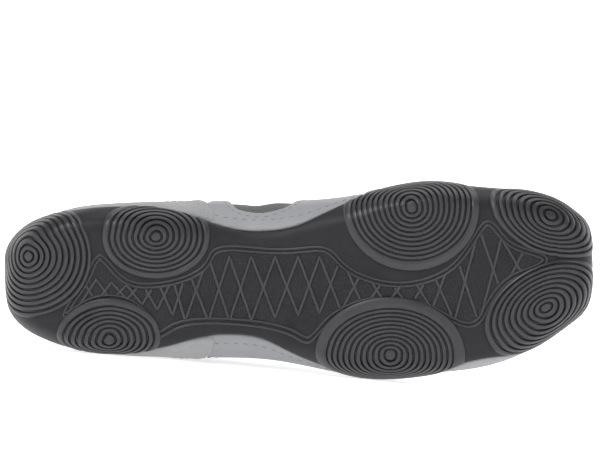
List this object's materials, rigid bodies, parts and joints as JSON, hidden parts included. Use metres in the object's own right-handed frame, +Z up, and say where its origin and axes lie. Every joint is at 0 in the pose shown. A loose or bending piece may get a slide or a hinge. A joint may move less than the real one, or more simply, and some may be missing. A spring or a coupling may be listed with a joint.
{
  "type": "wrestling shoe",
  "caption": "Left high-top wrestling shoe lying on its outer side: hollow lasted upper, cupped rubber sole with round lugs, tongue, overlays and flat lacing.",
  "frame": {"origin": "middle of the bottom of the box around the shoe as it lies on its outer side", "axes": "+X from heel to toe, +Y from the sole to the collar, +Z up from the outer side to the inner side"},
  "size_m": [0.278, 0.1658, 0.0965],
  "materials": {
    "rubber": "dark grey moulded rubber with fine ringed tread",
    "mesh_cloth": "dark olive-grey spacer mesh",
    "suede": "light grey napped suede",
    "synthetic_leather": "smooth grey coated leather with fine grain",
    "lining": "black knitted lining",
    "lace_cord": "dark flat woven lace and painted rings"
  },
  "bodies": {
    "root": {"outsole": "rubber", "insole": "lining", "upper": "mesh_cloth", "tongue": "mesh_cloth", "toe_guard": "suede", "heel_counter": "suede", "saddle_medial": "synthetic_leather", "saddle_lateral": "synthetic_leather", "eyestay": "synthetic_leather", "cuff": "synthetic_leather", "eyelet_lateral_1": "lace_cord", "eyelet_medial_1": "lace_cord", "eyelet_lateral_2": "lace_cord", "eyelet_medial_2": "lace_cord", "eyelet_lateral_3": "lace_cord", "eyelet_medial_3": "lace_cord", "eyelet_lateral_4": "lace_cord", "eyelet_medial_4": "lace_cord", "eyelet_lateral_5": "lace_cord", "eyelet_medial_5": "lace_cord", "eyelet_lateral_6": "lace_cord", "eyelet_medial_6": "lace_cord", "eyelet_lateral_7": "lace_cord", "eyelet_medial_7": "lace_cord", "lace_bar": "lace_cord", "lace_crossing_1": "lace_cord", "lace_crossing_2": "lace_cord", "lace_crossing_3": "lace_cord", "lace_crossing_4": "lace_cord", "lace_crossing_5": "lace_cord", "lace_crossing_6": "lace_cord"}
  },
  "joints": []
}
